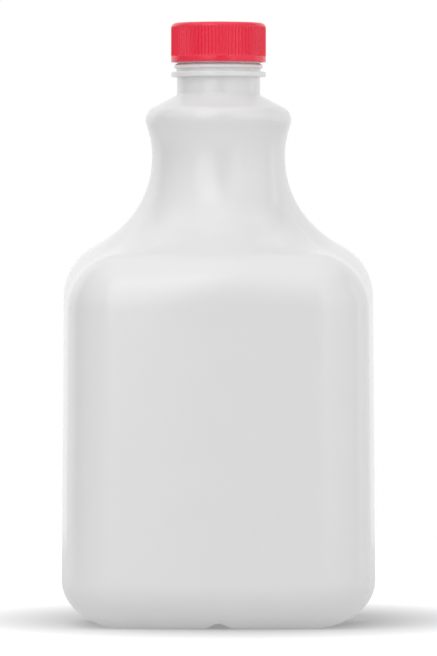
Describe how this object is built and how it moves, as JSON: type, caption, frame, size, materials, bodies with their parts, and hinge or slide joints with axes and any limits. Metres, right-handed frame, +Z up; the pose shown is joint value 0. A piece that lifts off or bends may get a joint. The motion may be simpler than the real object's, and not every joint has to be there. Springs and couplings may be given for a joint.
{
  "type": "plastic milk jug",
  "caption": "Tall white plastic milk jug, full and shut, with a bowed box body, a flared shoulder, a waist to hold it by and a ribbed red screw cap.",
  "frame": {"origin": "the middle of the base, on the surface that the jug stands on", "axes": "+Z up along the middle of the neck, the front of the jug faces -Y, +X is the front's right side as seen from the front"},
  "size_m": [0.1354, 0.1498, 0.2607],
  "materials": {
    "jug_plastic": "satin blow-moulded white polyethylene, opaque with milk behind it",
    "cap_plastic": "satin injection-moulded red polypropylene, ribbed"
  },
  "bodies": {
    "root": {"jug": "jug_plastic", "cap": "cap_plastic"}
  },
  "joints": []
}
